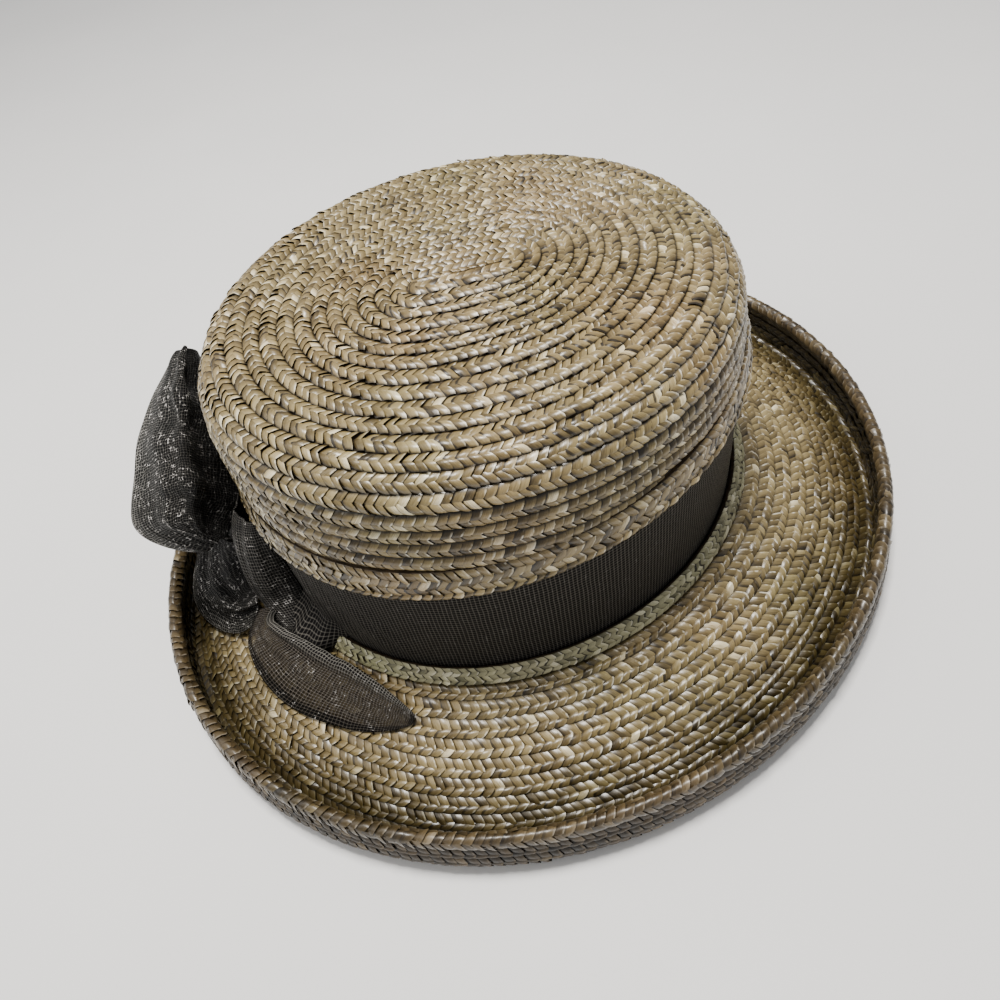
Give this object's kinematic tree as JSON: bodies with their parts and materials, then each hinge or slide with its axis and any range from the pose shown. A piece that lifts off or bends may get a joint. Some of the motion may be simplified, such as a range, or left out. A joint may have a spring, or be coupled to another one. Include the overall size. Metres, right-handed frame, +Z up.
{
  "type": "straw boater hat",
  "caption": "Sewn-braid straw hat with a flat-topped crown, a sloping brim turned up at the edge, and an open-weave cloth band gathered into a side-knotted bow at the back.",
  "frame": {"origin": "on the surface the hat rests on, at the centre of the brim's outline", "axes": "+Z up through the crown, +Y towards the back where the bow is sewn, +X towards the wearer's left"},
  "size_m": [0.2966, 0.3274, 0.1329],
  "materials": {
    "straw": "plaited straw, satin",
    "sinamay": "open-weave stiffened cloth"
  },
  "bodies": {
    "root": {"crown": "straw", "brim": "straw", "crown_edge_braid": "straw", "headline_braid": "straw", "hat_band": "sinamay", "bow_knot": "sinamay", "bow_upper_loop": "sinamay", "bow_lower_loop": "sinamay", "bow_tail": "sinamay"}
  },
  "joints": []
}
